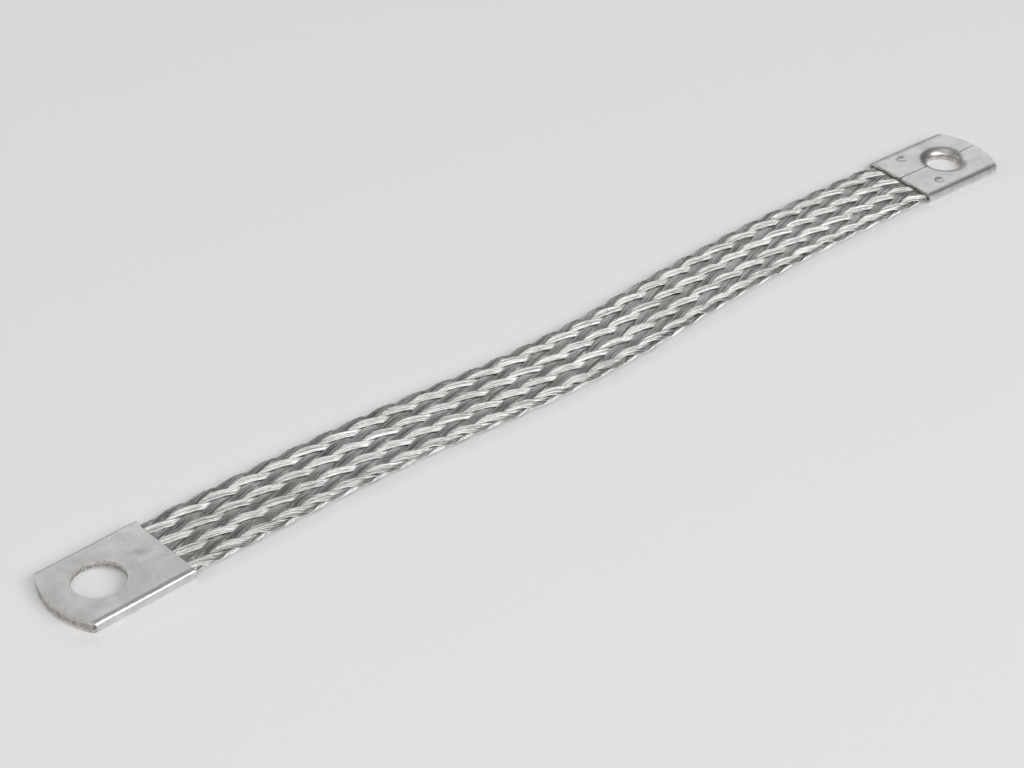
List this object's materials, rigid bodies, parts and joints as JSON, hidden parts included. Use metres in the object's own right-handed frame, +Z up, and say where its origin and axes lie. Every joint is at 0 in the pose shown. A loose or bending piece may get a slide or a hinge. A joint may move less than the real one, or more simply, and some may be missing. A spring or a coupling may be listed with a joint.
{
  "type": "grounding braid",
  "caption": "Flat woven strap of tinned copper wire with a pressed, punched lug on each end, bolted between two metal parts to earth one to the other.",
  "frame": {"origin": "axis of the near bolt hole, on the surface that the strap lies on", "axes": "+X along the strap from the near lug to the far lug, +Z up out of the surface"},
  "size_m": [0.2036, 0.0234, 0.002],
  "materials": {
    "tinned_sleeve": "satin tin plate on copper",
    "tinned_wire": "drawn tinned copper wire",
    "pressed_wire": "sheared tinned copper wire"
  },
  "bodies": {
    "root": {"near_sleeve": "tinned_sleeve", "far_sleeve": "tinned_sleeve", "near_pressed_end": "pressed_wire", "far_pressed_end": "pressed_wire", "strand_r01": "tinned_wire", "strand_r02": "tinned_wire", "strand_r03": "tinned_wire", "strand_r04": "tinned_wire", "strand_r05": "tinned_wire", "strand_r06": "tinned_wire", "strand_r07": "tinned_wire", "strand_r08": "tinned_wire", "strand_r09": "tinned_wire", "strand_r10": "tinned_wire", "strand_r11": "tinned_wire", "strand_r12": "tinned_wire", "strand_r13": "tinned_wire", "strand_r14": "tinned_wire", "strand_r15": "tinned_wire", "strand_r16": "tinned_wire", "strand_l01": "tinned_wire", "strand_l02": "tinned_wire", "strand_l03": "tinned_wire", "strand_l04": "tinned_wire", "strand_l05": "tinned_wire", "strand_l06": "tinned_wire", "strand_l07": "tinned_wire", "strand_l08": "tinned_wire", "strand_l09": "tinned_wire", "strand_l10": "tinned_wire", "strand_l11": "tinned_wire", "strand_l12": "tinned_wire", "strand_l13": "tinned_wire", "strand_l14": "tinned_wire", "strand_l15": "tinned_wire", "strand_l16": "tinned_wire"}
  },
  "joints": []
}
